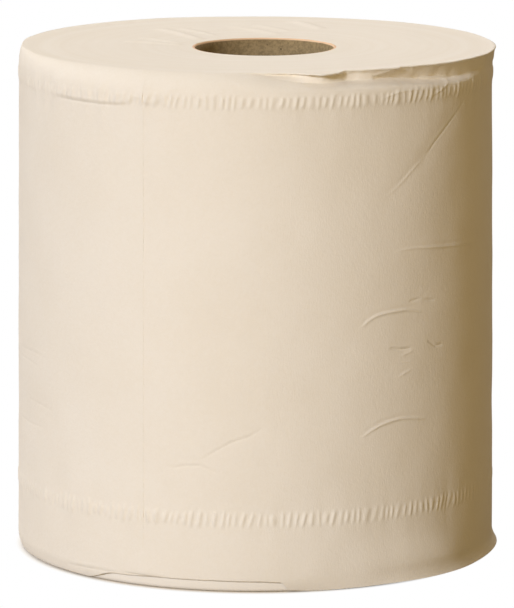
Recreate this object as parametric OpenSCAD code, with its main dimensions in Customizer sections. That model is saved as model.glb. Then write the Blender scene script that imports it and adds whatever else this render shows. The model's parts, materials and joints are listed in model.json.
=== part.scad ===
// Centre pull paper towel roll: one web of two-ply crepe paper wound on a cardboard core.
// The roll stands on its end. +Z is up, the origin is on the core's axis in the plane that the
// roll rests on, and -Y is the front. Millimetres throughout.

/* [Roll] */
// Diameter over the outer turn, half way up
roll_d = 194; // [150:1:240]
// Width of the web, which is the height of the standing roll
roll_h = 206; // [140:1:280]
// How much the loose outer turn stands out at the base, and draws in at the top
outer_spread = 0.8; // [0:0.1:2]
// How far the middle of the outer turns lies from the core's axis
wind_offset = 3.6; // [0:0.1:6]

/* [Core] */
// Inside diameter of the cardboard tube
core_d = 57; // [38:1:76]
// Wall of the cardboard tube
core_wall = 0.8; // [0.6:0.1:3]
// How far each end of the tube sits inside the roll
core_recess = 0.8; // [0:0.1:3]
// Gap between the tube and the first turn, on the radius
core_fit = 0.05; // [0.02:0.01:0.2]
// Bevel on the cut edges of the tube
core_bevel = 0.2; // [0.1:0.05:0.4]

/* [Outer turn] */
// Height of the step where the web ends
tail_step = 0.4; // [0.2:0.05:1]
// Direction of the tail's edge round the roll, from the right
tail_angle = 243; // [0:1:359]
// How far the outer turn stands out from the turns under its lower edge
sheet_step = 0.9; // [0.4:0.1:2]
// Height of the outer turn's lower edge where it hangs down
hem_z = 0.8; // [0.4:0.1:2]
// Height of the outer turn's lower edge where it has ridden up
lift_z = 4.9; // [2:0.1:8]
// Direction of the middle of the part that has ridden up
lift_angle = 255; // [0:1:359]
// Half of the angle that it takes up
lift_span = 20; // [10:1:60]

/* [Foot] */
// Height over which the foot of the outer turn draws in or flares out
foot_h = 6.5; // [3:0.5:12]
// How far the foot draws in
foot_in = 1.5; // [0:0.1:3]
// How far the loose foot flares out
flare_out = 2.2; // [0:0.1:4]
// Direction of the middle of the flare
flare_angle = 340; // [0:1:359]
// Half of the angle over which it flares fully
flare_span = 28; // [10:1:80]

/* [Top edge] */
// How far down the side the top edge starts to turn in
shoulder_h = 6.6; // [5:0.2:7]
// How far the rim of the end turns stands out over its neck
rim_out = 1.5; // [0.4:0.1:3]
// How far the neck lies below the end
rim_neck = 2.8; // [1.5:0.1:4]
// How far the outer turn swells below the neck
rim_swell = 0.5; // [0:0.1:1.5]
// Most that the ruffled rim dips
rim_dip = 0.5; // [0.2:0.1:1]
// Direction of the middle of the rim that stands out
rim_angle = 7; // [0:1:359]
// Half of the angle over which it stands out fully
rim_span = 86; // [20:1:120]

/* [Crimped bands] */
// Spacing of the crimps round the roll
crimp_pitch = 3; // [2.4:0.1:5]
// How far a crimp stands proud
crimp_rise = 0.45; // [0.2:0.05:0.8]
// Length of one crimp
crimp_len = 4.5; // [3:0.5:6]
// Length over which a crimp fades out at each end
crimp_fade = 1.4; // [1:0.1:2]
// Middle of the upper band, below the top
crimp_from_top = 10.8; // [10.8:0.1:20]
// Middle of the lower band, above the base
crimp_from_base = 29.5; // [18:0.5:60]
// How far the puffed fold in the upper band stands out
puff_out = 0.9; // [0:0.1:2]
// Direction of the middle of the puffed fold
puff_angle = 235; // [0:1:359]
// Half of the angle that the puffed fold takes up
puff_span = 12; // [4:1:40]

/* [Turns on the ends] */
// Spacing of the turn lines on the ends
turn_pitch = 3.4; // [2.5:0.1:8]
// Width of a turn line
turn_line_w = 0.6; // [0.3:0.1:1]
// Depth of a turn line
turn_line_d = 0.4; // [0.2:0.1:1]

/* [Hidden] */
$fn = 96;

paper_colour = [0.94, 0.89, 0.81];
board_colour = [0.62, 0.53, 0.40];

core_r = core_d / 2;
tube_r = core_r + core_wall;
bore_r = tube_r + core_fit;
past = 1; // how far the bore's cutter runs past the ends

side_fade = 22; // degrees over which the rim and the flare die away
hem_fade = 5; // degrees over which the lower edge rides up
tail_gap = 0.15; // width of the step at the tail, in degrees
rim_soft = 1.9; // how far inside the rim the flat end starts
rim_edge_h = 0.6; // height of the rim's rounded edge
ruffle_count = 41; // waves round the ruffled rim
ruffle_seed = 7;
crimp_seed = 11;
band_gap = 0.4; // least height between a crimped band and the top edge or the foot
crimp_strong_angle = 315; // where the crimps stand out most
crimp_weak = 0.45; // share of their height that is left on the far side

// The skin has three fine columns to each coarse one, and two fine columns to each crimp
fine_per_coarse = 3;
coarse_count = 2 * round(PI * roll_d / (fine_per_coarse * crimp_pitch));
fine_count = fine_per_coarse * coarse_count;

crimp_high = rands(0.6, 1.1, fine_count + 1, crimp_seed);
crimp_lean = rands(-0.2, 0.2, fine_count + 1, crimp_seed + 1);
ruffle_high = rands(0, 1, ruffle_count, ruffle_seed);

// How far the rim lies inside the side, by its direction from the right
rim_insets = [
    [0, -0.9], [30, -1.5], [50, -1.8], [75, -0.2], [95, 0.2], [115, -0.9], [141, -0.9], [165, 0.4],
    [182, 2], [195, 4], [209, 6.4], [225, 8.4], [256, 8.4], [270, 8.6], [277, 7.6], [281, 4.4],
    [286, 0.3], [290, 3.2], [293, 6.3], [301, 5], [308, 5], [314, 2.7], [320, 1.5], [325, 0.4],
    [330, 2], [338, -0.2], [345, -0.8], [360, -0.9]
];

// Stations over the top edge. Where it is soft, each is a turn of a quarter round. Where the rim
// stands out, each has a share of the way in to the neck, a share of the way out to the rim, a
// share of the swelling, a share of the neck's depth and a share of the rim's edge.
soft_turns = [0, 15, 30, 44, 56, 66, 75, 83];
neck_shares = [0, 0.12, 0.42, 0.8, 1, 1, 1, 1];
over_shares = [0, 0, 0, 0, 0, 0.6, 1, 0.8];
swell_shares = [1, 0.7, 0.3, 0, 0, 0, 0, 0];
drop_shares = [1, 0.7, 0.4, 0.16, 0, 0, 0, 0];
depth_shares = [1, 1, 1, 1, 1, 0.5, 0, 0];
edge_shares = [0, 0, 0, 0, 0, 0.5, 1, 0.3];

// Angle between two directions, from 0 to 180
function between(a, b) = abs(((a - b) % 360 + 540) % 360 - 180);

// Smooth step from 0 to 1
function ease(x) = let (t = min(max(x, 0), 1)) t * t * (3 - 2 * t);

// 1 within a span of directions, dying away to 0 past its ends
function sector(a, middle, span, fade) = 1 - ease((between(a, middle) - span) / fade);

// Radius of the outer turn, which grows by one step from the tail's edge right round to it
function skin_r(u, z) =
    roll_d / 2 + outer_spread * (1 - 2 * z / roll_h) + tail_step * (u - 0.5);

// Height of the outer turn's lower edge
function hem(a) = hem_z + (lift_z - hem_z) * sector(a, lift_angle, lift_span, hem_fade);

// How far the foot stands out at the edge, negative where it draws in
function foot_out(a) =
    let (f = sector(a, flare_angle, flare_span, 2 * side_fade)) f * (flare_out + foot_in) - foot_in;

function foot_at(a, z) = foot_out(a) * pow(max(1 - z / foot_h, 0), 2);

// Dip of the ruffled rim
function ruffle(u) =
    let (
        x = u * ruffle_count,
        i = floor(x),
        low = ruffle_high[i % ruffle_count],
        high = ruffle_high[(i + 1) % ruffle_count]
    )
        low + (high - low) * ease(x - i);

// The section of the roll in one direction, from the foot up to the edge of the flat end.
// u is the share of a turn from the tail, a the direction and crimp the height of a crimp there.
function section(u, a, crimp) =
    let (
        edge_z = hem(a),
        stands = sector(a, rim_angle, rim_span, side_fade),
        puff = puff_out * sector(a, puff_angle, puff_span, puff_span / 2),
        dip = rim_dip * stands * ruffle(u),
        inset = lookup((a + 360) % 360, rim_insets),
        half = crimp_len / 2,
        reach = half + crimp_fade + band_gap,
        low_band = max(crimp_from_base, foot_h + edge_z / 2 + reach),
        high_band = roll_h - max(crimp_from_top, shoulder_h + reach),
        out = crimp * (1 + (crimp_weak - 1) * between(a, crimp_strong_angle) / 180),
        foot_r = skin_r(u, 0) - foot_in - sheet_step,
        top_r = skin_r(u, roll_h)
    )
        [
            [foot_r, 0],
            [foot_r + sheet_step / 3, edge_z],
            [skin_r(u, edge_z) + foot_at(a, edge_z), edge_z],
            [skin_r(u, foot_h / 2) + foot_at(a, (edge_z + foot_h) / 2), (edge_z + foot_h) / 2],
            [skin_r(u, foot_h), foot_h + edge_z / 2],
            [skin_r(u, low_band), low_band - half - crimp_fade],
            [skin_r(u, low_band) + out, low_band - half],
            [skin_r(u, low_band) + out, low_band + half],
            [skin_r(u, low_band), low_band + half + crimp_fade],
            [skin_r(u, roll_h / 2), roll_h / 2],
            [skin_r(u, high_band), high_band - half - crimp_fade - puff],
            [skin_r(u, high_band) + out + puff, high_band - half - puff],
            [skin_r(u, high_band) + out + puff, high_band + half],
            [top_r + puff / 2 + rim_swell * stands, high_band + half + crimp_fade],
            each [for (k = [0:len(soft_turns) - 1])
                let (
                    t = soft_turns[k],
                    soft_r = top_r - inset * (1 - cos(t)),
                    soft_z = roll_h - shoulder_h * (1 - sin(t)),
                    neck_in = (inset + rim_out) * neck_shares[k],
                    deep_r = top_r - neck_in + rim_out * over_shares[k] + rim_swell * swell_shares[k],
                    fall = (shoulder_h - rim_neck) * drop_shares[k] + rim_neck * depth_shares[k],
                    deep_z = roll_h - fall - (rim_edge_h + dip) * edge_shares[k]
                )
                    [soft_r + (deep_r - soft_r) * stands, soft_z + (deep_z - soft_z) * stands]],
            [top_r - inset - rim_soft * stands, roll_h]
        ];

fine_rows = [6, 7, 11, 12]; // the two rows of each crimped band
row_count = 23;
function is_fine(row) = len(search(row, fine_rows)) > 0;
function columns(row) = (is_fine(row) ? fine_count : coarse_count) + 1;

// Share of a turn from the tail, with one more column just before the turn is whole
function share(i, count) = min(i / count, 1 - tail_gap / 360);

function row_points(row) =
    let (count = columns(row) - 1, fine = is_fine(row))
        [for (i = [0:count])
            let (
                inner = fine && i > 0 && i < count,
                lean = inner ? crimp_lean[i] * (row % 2 == 0 ? 1 : -1) : 0,
                crimp = inner && i % 2 == 1 ? crimp_rise * crimp_high[i] : 0,
                u = share(i + lean, count),
                a = tail_angle + 360 * u,
                p = section(u, a, crimp)[row]
            )
                [p[0] * cos(a), p[0] * sin(a), p[1]]];

row_starts = [for (row = 0, at = 0; row < row_count; at = at + columns(row), row = row + 1) at];

// The triangles between a row and the one above it
function strip(row) =
    let (
        low = row_starts[row],
        high = row_starts[row + 1],
        low_n = columns(row),
        high_n = columns(row + 1)
    )
        low_n == high_n
            ? [for (i = [0:low_n - 1])
                let (j = (i + 1) % low_n)
                    each [[low + i, high + j, low + j], [low + i, high + i, high + j]]]
            : low_n < high_n
                ? [for (t = fan(low, low_n, high, high_n)) [t[0], t[2], t[1]]]
                : fan(high, high_n, low, low_n);

// The triangles between a coarse row and a fine one
function fan(coarse, coarse_n, fine, fine_n) = concat(
    [for (i = [0:coarse_n - 2])
        let (
            a = coarse + i,
            b = coarse + i + 1,
            f = fine + fine_per_coarse * i
        )
            each [[a, f + 1, f], [a, f + 2, f + 1], [a, b, f + 2], [b, f + 3, f + 2]]],
    [
        [coarse + coarse_n - 1, fine, fine + fine_n - 1],
        [coarse + coarse_n - 1, coarse, fine]
    ]
);

// The whole wound roll as a solid skin, before the core's bore and the lines on its ends
module wound_body() {
    last = row_count - 1;
    polyhedron(
        points = [for (row = [0:last]) each row_points(row)],
        faces = concat(
            [[for (i = [0:columns(0) - 1]) row_starts[0] + i]],
            [for (row = [0:last - 1]) each strip(row)],
            [[for (i = [columns(last) - 1:-1:0]) row_starts[last] + i]]
        )
    );
}

// The turn lines are laid on round hundredths, so that the halves of a turn meet exactly
line_grid = 0.01;
function on_grid(x) = line_grid * round(x / line_grid);

// Half a turn of the line between two turns, as a cutter that points down from the end
module half_turn_line(left, right) {
    r = (left + right) / 2;
    half_w = on_grid(turn_line_w / 2);
    translate([(right - left) / 2, 0, 0])
        rotate_extrude(angle = 180)
            polygon([
                [r - half_w, turn_line_d / 2],
                [r, -turn_line_d],
                [r + half_w, turn_line_d / 2]
            ]);
}

// The spiral that the edges of the turns make on an end, from the core out to the rim
module turn_lines() {
    first_r = on_grid(bore_r + turn_pitch);
    inset = max([for (s = rim_insets) s[1]]);
    last_r = skin_r(0, roll_h) - max(inset + rim_soft, foot_in + sheet_step) - turn_pitch;
    turns = floor((last_r - wind_offset - first_r) / turn_pitch);
    right_step = on_grid((last_r - wind_offset - first_r) / turns);
    left_step = 2 * on_grid((last_r + wind_offset - first_r) / turns / 2);
    for (k = [0:turns - 1])
        let (
            right = first_r + k * right_step,
            left = first_r + (k + 0.5) * left_step,
            next = right + right_step
        ) {
            half_turn_line(left, right);
            mirror([0, 1, 0])
                half_turn_line(left, next);
        }
}

module paper_roll() {
    color(paper_colour)
        difference() {
            difference() {
                translate([-wind_offset, 0, 0])
                    wound_body();
                translate([0, 0, -past])
                    cylinder(h = roll_h + 2 * past, r = bore_r);
            }
            translate([0, 0, roll_h])
                turn_lines();
            mirror([0, 0, 1])
                turn_lines();
        }
}

module core_tube() {
    low = core_recess;
    high = roll_h - core_recess;
    color(board_colour)
        rotate_extrude()
            polygon([
                [core_r + core_bevel, low],
                [tube_r - core_bevel, low],
                [tube_r, low + core_bevel],
                [tube_r, high - core_bevel],
                [tube_r - core_bevel, high],
                [core_r + core_bevel, high],
                [core_r, high - core_bevel],
                [core_r, low + core_bevel]
            ]);
}

paper_roll();
core_tube();
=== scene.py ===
# A centre pull roll of crimped paper towel on its cardboard core, laid out as an add-on.
# It is run as a script: main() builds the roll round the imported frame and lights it.

import json
import math

import bpy
import numpy as np
from bpy.props import FloatProperty, FloatVectorProperty, IntProperty, PointerProperty
from bpy.types import Operator, Panel, PropertyGroup
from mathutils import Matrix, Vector


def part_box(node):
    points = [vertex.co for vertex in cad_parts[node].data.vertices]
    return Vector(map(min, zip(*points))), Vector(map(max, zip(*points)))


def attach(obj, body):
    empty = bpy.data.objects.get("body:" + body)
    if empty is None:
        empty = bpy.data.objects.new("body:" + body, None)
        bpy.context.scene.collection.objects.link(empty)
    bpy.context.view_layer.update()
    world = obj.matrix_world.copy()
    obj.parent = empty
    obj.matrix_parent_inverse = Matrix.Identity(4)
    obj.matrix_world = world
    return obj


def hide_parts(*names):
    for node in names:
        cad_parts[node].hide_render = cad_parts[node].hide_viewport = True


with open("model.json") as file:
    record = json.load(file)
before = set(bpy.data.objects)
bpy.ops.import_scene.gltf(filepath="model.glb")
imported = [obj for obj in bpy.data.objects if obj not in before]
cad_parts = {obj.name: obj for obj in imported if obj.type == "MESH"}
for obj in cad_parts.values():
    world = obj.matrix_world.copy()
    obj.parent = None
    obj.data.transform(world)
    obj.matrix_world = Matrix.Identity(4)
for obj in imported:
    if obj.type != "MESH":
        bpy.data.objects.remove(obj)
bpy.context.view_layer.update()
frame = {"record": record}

bl_info = {
    "name": "Centre Pull Paper Towel Roll",
    "version": (1, 0, 0),
    "blender": (4, 5, 0),
    "location": "3D View > Sidebar > Towel Roll",
    "description": "Builds a crimped paper towel roll on its cardboard core",
    "category": "Object",
}

MM = 0.001
ROLL_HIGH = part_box("paper_roll")[1]
CORE_LOW, CORE_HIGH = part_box("core_tube")
MOUNTS = {m["name"]: m for m in frame["record"]["mounts"]}
CORE_BORE = MOUNTS["core_bore"]["dims"]["r_mm"] * MM
# How far the outer turns' middle lies to the left of the core's axis
OFFSET = 3.6 * MM
# Middles of the crimped bands, above the foot and below the upper end
LOW_BAND, HIGH_BAND = 29.5 * MM, 10.6 * MM


def metres(name, description, default, low, high):
    """A length that a user may change."""
    return FloatProperty(
        name=name, description=description, default=default, min=low, max=high, unit="LENGTH")


def tint(name, description, default, high=1.0):
    """A colour that a user may change, or the strength and colour of a light."""
    return FloatVectorProperty(
        name=name, description=description, default=default, min=0.0, max=high, subtype="COLOR")


class RollSizes(PropertyGroup):
    """Main sizes of the wound roll."""

    outer_radius: metres(
        "Outer radius", "Radius of the outer turn half way up", 97.0 * MM, 0.07, 0.12)
    height: metres(
        "Height", "Width of the web, which is the height of the roll", ROLL_HIGH[2], 0.14, 0.28)
    offset: metres(
        "Offset", "How far the outer turns lie to the left of the core's axis", OFFSET, 0.0, 0.006)
    spread: metres(
        "Spread", "How much the outer turn stands out at the base", 0.8 * MM, 0.0, 0.002)
    paper: metres(
        "Paper", "Thickness of the two-ply web at an open edge", 0.35 * MM, 0.0001, 0.001)
    tail_angle: FloatProperty(
        name="Tail", description="Direction of the web's end, in degrees from the right",
        default=243.0, min=0.0, max=360.0)
    tail_step: metres(
        "Tail step", "Height of the step at the web's end", 0.12 * MM, 0.0, 0.001)
    shoulder_down: metres(
        "Shoulder depth", "How far the soft shoulder runs down the side", 8.5 * MM, 0.003, 0.012)
    flare: metres("Flare", "How far the loose foot flares out", 2.3 * MM, 0.0, 0.004)
    foot_in: metres("Foot", "How far the tight foot draws in", 1.5 * MM, 0.0, 0.003)
    foot_height: metres(
        "Foot height", "Height over which the foot draws in or flares out", 6.5 * MM, 0.003, 0.012)


class CrimpSizes(PropertyGroup):
    """The two crimped bands that hold the plies together."""

    count: IntProperty(
        name="Count", description="Crimps round the roll", default=206, min=60, max=260)
    rise: metres("Rise", "How far a crimp stands proud", 0.36 * MM, 0.0, 0.001)
    length: metres("Length", "Length of one crimp", 3.2 * MM, 0.002, 0.01)
    fade: metres("Fade", "Length over which a crimp dies away", 1.4 * MM, 0.0005, 0.003)
    low_band: metres(
        "Lower band", "Height of the middle of the lower band", LOW_BAND, 0.018, 0.06)
    high_band: metres(
        "Upper band", "Height of the middle of the upper band", ROLL_HIGH[2] - HIGH_BAND, 0.1, 0.25)
    seed: IntProperty(name="Seed", description="Picks the irregular crimps", default=11)


class RollFinish(PropertyGroup):
    """Colours of the paper and the board, and the light on them."""

    paper: tint("Paper", "Colour of the paper", (0.885, 0.828, 0.728))
    paper_deep: tint(
        "Paper, deeper", "Colour of the paper's thicker fibres", (0.855, 0.788, 0.672))
    board: tint("Board", "Colour of the core's recycled board", (0.29, 0.215, 0.112))
    board_edge: tint("Board edge", "Colour of the core's cut edge", (0.88, 0.62, 0.40))
    key: tint(
        "Key light", "Strength and colour of the main light, from the left front",
        (2.026, 2.18, 2.56), 20.0)
    back: tint(
        "Back light", "Strength and colour of the wide light from behind",
        (2.323, 2.269, 2.228), 20.0)
    warm: tint(
        "Warm light", "Strength and colour of the wide low light from the front",
        (0.701, 0.46, 0.041), 20.0)
    fill: tint("Fill", "Colour of the light from all round", (0.2, 0.15, 0.09))


# Stations round the rim of the upper end: direction, then in millimetres its radius, its rise above
# the end, how far it overhangs the neck and how deep the neck lies. All directions are in degrees.
RIM_EDGE = [
    (0, 97.8, 0.2, 0.8, 4.6), (12, 97.4, 0.1, 1.0, 4.4), (30, 98.2, 0.0, 1.3, 4.0),
    (50, 98.5, 0.0, 1.3, 4.0), (75, 96.8, 0.0, 1.1, 3.6), (95, 96.4, 0.0, 0.8, 3.0),
    (115, 97.5, 0.2, 0.5, 2.0), (141, 97.5, 0.4, 0.4, 1.0), (165, 96.2, 0.3, 0.3, 0.5),
    (182, 94.6, 0.2, 0.3, 0.5), (195, 92.6, 0.1, 0.3, 0.5), (209, 90.2, 0.0, 0.3, 0.5),
    (225, 88.0, 0.0, 0.3, 0.5), (256, 88.0, 0.0, 0.3, 0.5), (268, 87.6, 0.0, 0.5, 1.0),
    (277.5, 88.2, 0.0, 1.2, 1.6), (280.3, 90.0, 0.1, 2.8, 1.7), (281.6, 92.5, 0.2, 4.8, 1.8),
    (283, 94.3, 0.2, 6.2, 1.9), (286.2, 96.6, 0.1, 8.0, 2.2), (288, 95.3, 0.1, 6.6, 2.4),
    (290.4, 93.2, 0.1, 4.6, 2.7), (291.6, 91.8, 0.3, 3.2, 2.9), (292.8, 90.3, 0.5, 2.2, 3.2),
    (295, 90.6, 0.5, 2.4, 3.4), (297.9, 91.6, 0.5, 2.6, 3.5), (301, 92.2, 0.5, 2.9, 3.7),
    (305.4, 92.6, 0.5, 3.3, 4.2), (308.3, 92.9, 0.6, 3.6, 4.8), (313.6, 94.0, 0.5, 4.2, 5.8),
    (320, 95.2, 0.4, 4.4, 6.8), (325, 95.7, 0.2, 3.2, 7.2), (330, 95.8, 0.2, 1.9, 7.2),
    (335.5, 96.2, 0.1, 1.1, 6.4), (344.5, 97.3, 0.1, 0.8, 5.0),
]
# The neck's depth as a share of that
NECK_SHARE = 0.85
# Where the rim stands out over a neck: two directions, and the degrees over which that fades
HOLLOW = 281.0, 452.0, 22.0
# How much deeper the shoulder starts there, and how sharply it turns in and out again
HOLLOW_SAG, NECK_TURN, WALL_LEAN = 1.0 * MM, 2.4, 1.1
# The swelling below the neck: its rise, its depth under the end and its half height
SWELL_RISE, SWELL_DOWN, SWELL_SPAN = 0.4 * MM, 10.0 * MM, 3.6 * MM
# How far below and inside the rim the outer turn ends, and how far up where it laps over the end
END_DOWN, END_IN, LAP_PROUD = 0.55 * MM, 0.35 * MM, 0.15 * MM
# Ruffles of the wall: where, their rise in millimetres, and two layers of seed, count and share
RUFFLED, RUFFLE_RISE, RUFFLES = (292.0, 332.0, 7.0), 0.08, ((31, 105, 1.0), (32, 210, 0.6))
# The flap among them: its edge's direction at the neck and at the rim, its rise and the dip past it
# in millimetres, then in degrees its width, its slope, the width of its edge and that of the dip
FLAP_AT_NECK, FLAP_AT_RIM, FLAP_OUT, FLAP_IN = 301.0, 308.0, 0.5, 0.9
FLAP_WIDE, FLAP_SLOPE, FLAP_EDGE, FLAP_RETURN = 5.0, 4.5, 0.8, 18.0
# How far in millimetres the wound turns' wall lies behind the outer turn, and what its foot adds
WALL_BEHIND, WALL_FOOT_BEHIND = 0.9, 2.0

# The outer turn's lower edge by direction, in millimetres, and the height up to which it is felt
HEM_EDGE = [
    (180, 0.8), (190, 1.0), (204, 1.2), (214, 1.1), (226, 0.8), (235, 4.3), (247, 4.9), (258, 5.0),
    (271, 4.8), (275.6, 4.4), (278.2, 0.7), (284, 0.25), (305, 0.8), (345, 0.8), (360, 0.5),
]
HEM_TALL = 14.0 * MM
# Where the foot is loose
LOOSE_FOOT = 318.0, 372.0, 40.0
# The pleat left of the lifted stretch: its edge from one direction and height in millimetres to
# another, then its step, and the heights over which it rises, goes up and fades
PLEAT_FROM, PLEAT_TO, PLEAT_LOW, PLEAT_HIGH = 217.0, 238.0, 3.6, 4.9
PLEAT_STEP, PLEAT_SHARP, PLEAT_TALL, PLEAT_FADE = 0.55 * MM, 0.5 * MM, 14.0 * MM, 12.0 * MM

# The puffed fold at the upper left: its lower edge by direction, in millimetres, then its step, the
# heights over which it rises and fades, and where it is
PUFF_EDGE = [
    (197.4, 193.9), (207.7, 192.9), (217, 192.3), (226.2, 192.1), (231, 192.1), (235.4, 192.3),
    (238.8, 193), (240.9, 195), (242.3, 194.8), (244.1, 192.8), (246.9, 194.2), (250.2, 198.1),
    (253.6, 199.5),
]
PUFF_STEP, PUFF_SHARP, PUFF_FADE, PUFFED = 0.4 * MM, 0.9 * MM, 12.0 * MM, (220.0, 250.0, 7.0)

# The billow of the foot: its ridge's direction at the base and slant in degrees a millimetre, its
# half widths in degrees, the height of its middle in millimetres and its rise
BILLOW_AT_BASE, BILLOW_SLANT, BILLOW_SPAN, BILLOW_TALL = 325.0, 0.65, (20.0, 9.0), 8.0
BILLOW_RISE = 2.4 * MM

# How strongly the crimps are pressed, by direction
CRIMP_PRESS = [
    (0, 0.4), (60, 0.7), (140, 0.7), (190, 1.0), (215, 1.5), (250, 1.7), (275, 1.3), (300, 1.0),
    (315, 0.8), (330, 0.6), (360, 0.4),
]
# Slack of the web in two layers: rise in millimetres, seed, cells round the roll, cell height
SLACK = ((0.16, 41, 26, 0.03), (0.10, 42, 60, 0.012))
# Gathers along the crimped bands: rise in millimetres, what it gains at the upper left and where,
# cells round the roll, cell height and half height
GATHER_RISE, GATHER_MORE, GATHERED = 0.12, 0.25, (207.0, 243.0, 12.0)
GATHER_COUNT, GATHER_CELL, GATHER_SPAN = 150, 0.04, 11.0 * MM
# Degrees by which the outer turn laps over its own start, and how far that tucks in
LAP, TUCK = 10.0, 0.5 * MM
# Columns of the outer turn's mesh
FINE, PLAIN, COARSE = 1350, 900, 450
# What the loose layer under the outer turn adds to the web
UNDER_SHEET = 0.9 * MM
# Columns of the wound turns' mesh: at the bore and on the side, on the ends, at the rim
WOUND_PLAIN, WOUND_END, WOUND_RIM = 300, 600, 900
# How far the wound turns stand inside the outer turn, the round of their lower edge, and stations
# up their side: columns, how far out and how high in millimetres
INSIDE_BY, FOOT_ROUND = 1.7 * MM, 1.6 * MM
WOUND_SIDE = (
    (WOUND_END, 0.7, 4.0), (WOUND_END, 0.4, 6.5),
    (WOUND_PLAIN, -0.2, 12.0), (WOUND_PLAIN, -0.6, 100.0))

# Creases in the outer turn, in two sets so that none lies close to another of its set: depth and
# width in millimetres of the soft hollow, strength of the crisp line, and a route from left to
# right of directions and heights in millimetres. A negative depth or strength is a ridge.
CREASES = {
    "a": [
        (0.25, 2.8, 0.45, [
            (311.8, 167.4), (314, 170), (317.4, 175.4), (321.9, 180.9), (326.1, 185.7),
            (329.8, 189.8)]),
        (-0.1, 2.0, -1.1, [
            (295.6, 105), (297.2, 107.2), (299.1, 108.9), (301.8, 109.7), (304.6, 110),
            (307.6, 110.1), (310.3, 109.4), (312.9, 108.2)]),
        (-0.1, 2.0, -1.1, [
            (295.7, 60.8), (297.8, 62.9), (300.5, 64.9), (303.3, 66), (306.5, 66.6), (309.9, 66),
            (313.8, 64.9)]),
        (0.2, 1.6, 0.9, [(303, 95.6), (306.1, 94.5), (309.5, 94.4)]),
        (0.2, 1.6, 0.9, [(314.8, 96.4), (317.5, 93.7), (320.2, 93.6)]),
        (-0.25, 2.2, -0.8, [
            (305, 134), (309.6, 134.4), (315.5, 133.7), (321, 132.9), (333.6, 131.2)]),
        (0.22, 2.4, 0.2, [(187.3, 81.2), (199.8, 81.8), (206.5, 80.9)]),
        (0.22, 2.4, 0.2, [(190.6, 56.1), (201.7, 56), (209.1, 56.6)]),
        (0.25, 2.0, 0.5, [(248.4, 49.7), (250.9, 49.6), (253.4, 50.7), (257, 51), (261.3, 48.1)]),
        (0.0, 1.0, 0.7, [(215, 192.4), (226.2, 192.1), (231, 192.1), (235.4, 192.3), (238.8, 193)]),
    ],
    "b": [
        (0.2, 2.6, -0.35, [
            (301.9, 156), (304.5, 158.4), (307.4, 161.9), (310.4, 166.2), (314, 170),
            (315.6, 172.5)]),
        (0.0, 1.0, -0.5, [(305.4, 83.4), (309.4, 85.8)]),
        (0.0, 1.0, -0.5, [(306.2, 91.8), (310, 93.2)]),
        (0.1, 1.2, 0.7, [(309.2, 113.4), (312, 113.6)]),
        (0.1, 1.2, 0.7, [(314, 113.1), (317.4, 112.1)]),
        (0.22, 2.4, 0.2, [(191.5, 85.4), (203.5, 86.2), (209.8, 85.5)]),
        (0.22, 2.4, 0.2, [(199.6, 66.1), (207, 65.6), (214, 64.6)]),
        (0.25, 2.4, 0.5, [
            (257.5, 53.5), (260.6, 56.9), (264.5, 60.7), (268.7, 63.2), (272.2, 66.8)]),
        (0.0, 1.0, -0.7, [
            (301, 195), (302.9, 196.1), (305.8, 197.3), (310.3, 197.5), (313.5, 196.4)]),
        (0.0, 1.0, -0.7, [(316.2, 194.3), (318.7, 195.5), (321.4, 197.4), (324.6, 200)]),
        (0.0, 1.0, 0.6, [(219, 4.0), (227, 4.4), (236, 4.6)]),
    ],
}
# Distances in millimetres between which a crease's line fades
LINE_FADE_FROM, LINE_FADE_TO = 1.8, 3.0

# The dish of the upper end: how deep, and how far from the bore
DISH_DEPTH, DISH_REACH = 0.7 * MM, 38.0 * MM
# The upper end's flat part, between two radii
END_INNER, END_OUTER = 30.0 * MM, 88.0 * MM
# Pulled plies on it, in millimetres: rise, width and both ends from the outer turns' middle
PULLED_PLIES = [
    (0.65, 2.2, (-53.0, 13.0), (-29.5, 4.0)),
    (0.55, 2.0, (-47.0, 24.0), (-31.0, 11.0)),
    (0.7, 2.3, (-40.0, 53.0), (-22.0, 22.0)),
    (0.45, 1.9, (-31.0, 55.0), (-16.0, 33.0)),
    (0.65, 2.2, (-11.0, 63.0), (10.0, 38.0)),
    (0.45, 1.9, (0.0, 66.0), (14.0, 47.0)),
    (0.65, 2.3, (16.0, 80.0), (28.0, 52.0)),
]

PAPER_CONSTANTS = {"Specular IOR Level": 0.15, "Sheen Weight": 0.12, "Sheen Roughness": 0.6}
# Relief of the paper's grain and of the creases' lines
PAPER_GRAIN, CREASE_LINE = 0.12 * MM, 0.24 * MM
# A crisp line in millimetres: half widths of its groove and of the softer ridge beside it, how far
# off the ridge is, and its height as a share of the groove's depth
GROOVE_HALF, RIDGE_HALF, RIDGE_AWAY, RIDGE_SHARE = 0.6, 0.9, 1.4, 0.4

# The distant lights: azimuth from the front to the right, elevation and spread, in degrees
LIGHTS = {"key": (-31.0, 20.0, 12.0), "back": (-160.0, 35.0, 80.0), "warm": (0.0, 10.0, 60.0)}
# The camera: degrees above level, distance, focal length and sensor width in millimetres, then
# where it aims along x and how far below the middle of the roll
CAMERA_ABOVE, CAMERA_FAR, CAMERA_LENS, CAMERA_SENSOR = 10.06, 22.0 * 97.0 * MM, 308.0, 36.0
CAMERA_AIM, CAMERA_DROP = -2.96 * MM, 4.02 * MM
# How far the floor reaches, and the radii between which the contact shadow ends in white
FLOOR_REACH, SHADOW_FROM, SHADOW_TO = 12.0, 94.5 * MM, 99.5 * MM
WHITE = (1.0, 1.0, 1.0, 1.0)


def clamp(x):
    """x held between 0 and 1."""
    return np.clip(x, 0.0, 1.0)


def ease(x):
    """Smooth step from 0 to 1."""
    x = clamp(x)
    return x * x * (3.0 - 2.0 * x)


def hump(x, half_width):
    """1 where x is 0, dying away to 0 on both sides."""
    return np.exp(-(x / half_width) ** 2)


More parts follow.
